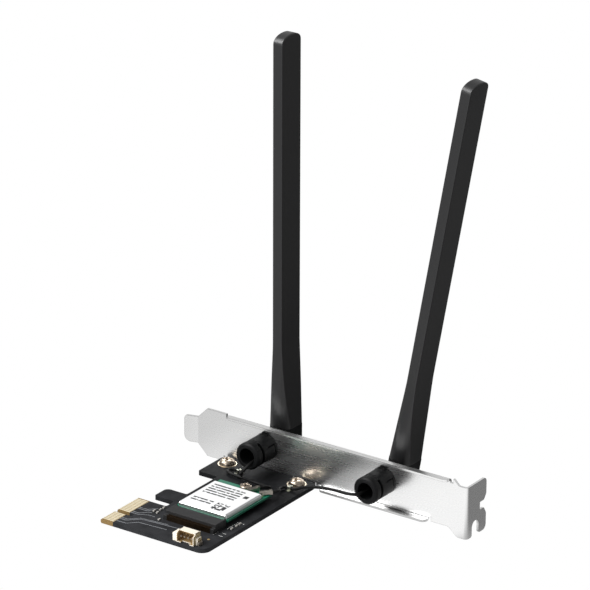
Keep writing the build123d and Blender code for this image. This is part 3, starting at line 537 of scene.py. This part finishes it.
def sleeve(origin, lean):
    """Section r(a, h) = (|cos a / t|^n + |sin a / w|^n + R^-n)^(-1/n), a soft minimum of rod and flats;
    t(h) narrows as (1 - u)^1.45 from foot to blade, and the top is an elliptic arch over the depth."""
    turn = np.linspace(0.0, 2.0 * np.pi, 289)
    foot = np.linspace(foot_height, flat_end, 44)
    blade = np.linspace(flat_end + blade_step, last_row, 12)
    wall = np.concatenate([foot, blade, [sleeve_top]])
    run = np.clip((wall - foot_height) / (flat_end - foot_height), 0.0, 1.0)
    half = blade_half + (foot_half - blade_half) * (1.0 - run) ** taper_power
    rod = np.interp(wall, [rod_start * flat_end, flat_end], [foot_radius, rod_radius])
    thin_side = np.abs(np.cos(turn)[None] / half[:, None]) ** softness
    deep_side = np.abs(np.sin(turn)[None] / blade_reach) ** softness
    radius = (thin_side + deep_side + rod[:, None] ** -softness) ** (-1.0 / softness)

    def arch(depth):
        """The top's height over the blade's depth: z(d) = top - rise + rise sqrt(1 - (d / reach)^2)."""
        fall = np.clip(1.0 - np.abs(depth / blade_reach) ** 2.0, 0.0, 1.0) ** 0.5
        return sleeve_top - arch_rise + arch_rise * fall

    edge = radius[-1]
    level = np.broadcast_to(wall[:, None], radius.shape).copy()
    level[-1] = arch(edge * np.sin(turn)) - rim
    bend = np.linspace(0.0, np.pi / 2, 7)[1:]
    rounded = edge[None] - rim * (1.0 - np.cos(bend))[:, None]
    lifted = arch(rounded * np.sin(turn)[None]) - rim * (1.0 - np.sin(bend))[:, None]
    cap = rounded[-1][None] * np.linspace(1.0, 0.0, 12)[1:, None]
    roof = arch(cap * np.sin(turn)[None])
    floor_ring = radius[0][None] * np.linspace(0.0, 1.0, 4)[:-1, None]
    spread = np.concatenate([floor_ring, radius, rounded, cap])
    rise = np.concatenate([np.full(floor_ring.shape, foot_height), level, lifted, roof])
    tilt = math.radians(lean)
    sideways = np.array([math.cos(tilt), 0.0, -math.sin(tilt)])
    upright = np.array([math.sin(tilt), 0.0, math.cos(tilt)])
    backward = np.array([0.0, 1.0, 0.0])
    to_side = (spread * np.cos(turn)[None])[..., None] * sideways
    to_back = (spread * np.sin(turn)[None])[..., None] * backward
    return (np.array(origin) + (to_side + to_back) + rise[..., None] * upright)[::-1]


sleeves = ("left_antenna_sleeve", "right_antenna_sleeve")
skin = moulded("antenna_black", (0.0075, 0.0075, 0.008), 0.32, 4200.0, 0.52, *sleeves)
for side, across, lean in (("left", left_joint, 0.0), ("right", right_joint, right_lean)):
    grid = sleeve((across, hinge_back, hinge_height), lean)
    made = piece(side + "_antenna_skin", [grid], side + "_antenna", skin)
    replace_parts(made, side + "_antenna_sleeve")

# Coax pigtails: 1.1 mm black cable that leaves each swivel bore, is held down by a clip on the board
# and ends in its plug on the module.
plated("dull_clip_tin", (0.20, 0.205, 0.17), (0.36, 0.365, 0.31), 0.34, "cable_clips")
jacket = moulded("coax_jacket", (0.004, 0.004, 0.004), 0.5, 2000.0, 0.15)
cable_radius = 0.55
bore_end = 63.86
barrel_front = 47.36
on_board = 2.4
at_plug = 4.84
clips = ((17.15, 49.4), (39.88, 48.43))
plug_tails = ((34.1, 37.9), (39.7, 37.9))
left_route = (
    (left_joint + 1.6, bore_end, hinge_height - 1.6),
    (left_joint + 1.6, barrel_front + 5.0, hinge_height - 1.6),
    (left_joint + 1.9, barrel_front - 2.2, hinge_height - 1.9),
    (left_joint + 0.1, barrel_front - 3.8, hinge_height - 5.2),
    (clips[0][0] + 2.05, clips[0][1] - 1.6, on_board),
    (clips[0][0] - 1.59, clips[0][1] + 1.245, on_board),
    (clips[0][0] - 3.99, clips[0][1] - 0.31, on_board),
    (clips[0][0] - 3.30, clips[0][1] - 3.08, on_board),
    (clips[0][0] + 5.9, clips[0][1] - 3.7, on_board),
    (clips[0][0] + 13.0, clips[0][1] - 4.6, on_board),
    (clips[0][0] + 18.4, clips[0][1] - 6.4, on_board + 0.9),
    (plug_tails[0][0] + 1.5, plug_tails[0][1] + 2.7, at_plug),
    (plug_tails[0][0], plug_tails[0][1], at_plug),
)
right_route = (
    (right_joint - 1.9, bore_end, hinge_height - 1.3),
    (right_joint - 1.9, barrel_front + 5.0, hinge_height - 1.3),
    (right_joint - 2.2, barrel_front - 1.6, hinge_height - 1.4),
    (right_joint - 6.0, barrel_front - 2.6, hinge_height - 1.4),
    (right_joint - 11.5, barrel_front - 1.4, hinge_height - 2.0),
    (right_joint - 19.5, barrel_front - 0.2, hinge_height - 3.4),
    (right_joint - 26.8, barrel_front + 0.7, hinge_height - 5.7),
    (clips[1][0] + 2.2, clips[1][1] - 0.115, on_board),
    (clips[1][0] - 2.5, clips[1][1] + 0.13, on_board),
    (clips[1][0] - 2.3, clips[1][1] - 4.4, on_board + 0.6),
    (clips[1][0] + 1.3, clips[1][1] - 7.6, at_plug - 0.2),
    (plug_tails[1][0], plug_tails[1][1], at_plug),
)
for side, route, length in (("left", left_route, 0.0637), ("right", right_route, 0.0624)):
    line = bpy.data.curves.new(side + "_coax", "CURVE")
    line.dimensions = "3D"
    line.bevel_depth = cable_radius / 1000.0
    line.bevel_resolution = 5
    line.use_fill_caps = True
    spline = line.splines.new("NURBS")
    spline.points.add(len(route) - 1)
    spline.points.foreach_set("co", np.array([(*np.array(point) / 1000.0, 1.0) for point in route]).ravel())
    spline.order_u = 3
    spline.use_endpoint_u = True
    spline.resolution_u = 12
    line.materials.append(jacket)
    cable = bpy.data.objects.new(side + "_coax", line)
    bpy.context.scene.collection.objects.link(cable)
    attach(cable, "card")
    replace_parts(cable, side + "_pigtail")
    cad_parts[side + "_coax_plug"]

# Floor: a plain pale sheet under the card, white to the camera. In mirrored light its tone is a painted
# reflection: dark behind the card, brighter towards +x, and darker over a patch near the card as a painted
# shadow.
sheet, shader, place, x, y, z = finish("pale_sheet")
place.fill(shader, {"Base Color": (0.8, 0.8, 0.8, 1.0), "Roughness": 0.9})
seen = place.node("LightPath", {}, {}, "Is Camera Ray")
mirrored = place.node("LightPath", {}, {}, "Is Glossy Ray")
# Painted reflection and painted shadow: the tone that the sheet shows in mirrored light is set by where it
# lies.
past_end = x.above(102.0, 12.0)
near = 1.0 - (y + 28.0 * past_end).above(80.0, 50.0)
painted_front_reflection = 0.64 + 0.15 * x.above(-15.0, 20.0) + 0.21 * x.above(40.0, 80.0)
painted_back_reflection = 0.085 + 0.12 * past_end
shade = x.within(8.0, 52.0, 20.0) * y.within(14.0, 80.0, 30.0)
painted_reflection_tone = (painted_back_reflection + (painted_front_reflection - painted_back_reflection) * near) * (1.0 - 0.6 * shade)
tone = (seen | mirrored * painted_reflection_tone).blend((0.0, 0.0, 0.0, 1.0), (1.0, 1.0, 1.0, 1.0))
glow = place.node("Emission", {}, {"Color": tone})
painted = Value(place.tree, shader.outputs[0])
place.fill(
    sheet.node_tree.nodes["Material Output"],
    {"Surface": place.node("MixShader", {}, {0: seen | mirrored, 1: painted, 2: glow})},
)
spread = 4.0
under = -0.0046
floor_mesh = bpy.data.meshes.new("floor")
floor_mesh.from_pydata(
    [(-spread, -spread, under), (spread, -spread, under), (spread, spread, under), (-spread, spread, under)],
    [],
    [(0, 1, 2, 3)],
)
floor_mesh.materials.append(sheet)
floor = bpy.data.objects.new("floor", floor_mesh)
bpy.context.scene.collection.objects.link(floor)

# Studio light: a soft box above on the left, a weaker one low in front, and a dim even surround.
# Polished parts mirror the surround as a pale tent.
world = bpy.data.worlds.new("studio")
bpy.context.scene.world = world
world.use_nodes = True
air = Value(world.node_tree)
tent = air.node("LightPath", {}, {}, "Is Glossy Ray")
air.fill(world.node_tree.nodes["Background"], {"Color": (1.0, 1.0, 1.0, 1.0), "Strength": 0.12 + 0.5 * tent})
aim = Vector((0.045, 0.05, 0.05))
for name, spot, size, power in (
    ("key", Vector((-0.55, -0.5, 0.95)), 0.9, 24.0),
    ("front", Vector((0.15, -1.25, 0.40)), 0.7, 6.0),
):
    lamp = bpy.data.lights.new(name, "AREA")
    lamp.size = size
    lamp.energy = power
    holder = bpy.data.objects.new(name, lamp)
    bpy.context.scene.collection.objects.link(holder)
    holder.location = spot
    holder.rotation_euler = (aim - spot).to_track_quat("-Z", "Y").to_euler()

# Camera: the photograph's own angle, about 35 degrees round to the right and 22 up.
# It stands well back with a long lens.
azimuth, elevation, roll = math.radians(34.888), math.radians(21.908), math.radians(0.201)
station = (0.7649, -0.9887, 0.5843)
level = math.cos(elevation)
forward = Vector((-math.sin(azimuth) * level, math.cos(azimuth) * level, -math.sin(elevation)))
rightward = Vector((math.cos(azimuth), math.sin(azimuth), 0.0))
upward = rightward.cross(forward)
rolled_right = math.cos(roll) * rightward + math.sin(roll) * upward
rolled_up = math.cos(roll) * upward - math.sin(roll) * rightward
lens = bpy.data.cameras.new("camera")
lens.sensor_width = 36.0
lens.lens = 242.0
lens.clip_end = 20.0
camera = bpy.data.objects.new("camera", lens)
bpy.context.scene.collection.objects.link(camera)
turned = Matrix((rolled_right, rolled_up, -forward)).transposed().to_4x4()
camera.matrix_world = Matrix.Translation(station) @ turned
bpy.context.scene.camera = camera
bpy.context.scene.view_settings.view_transform = "Standard"
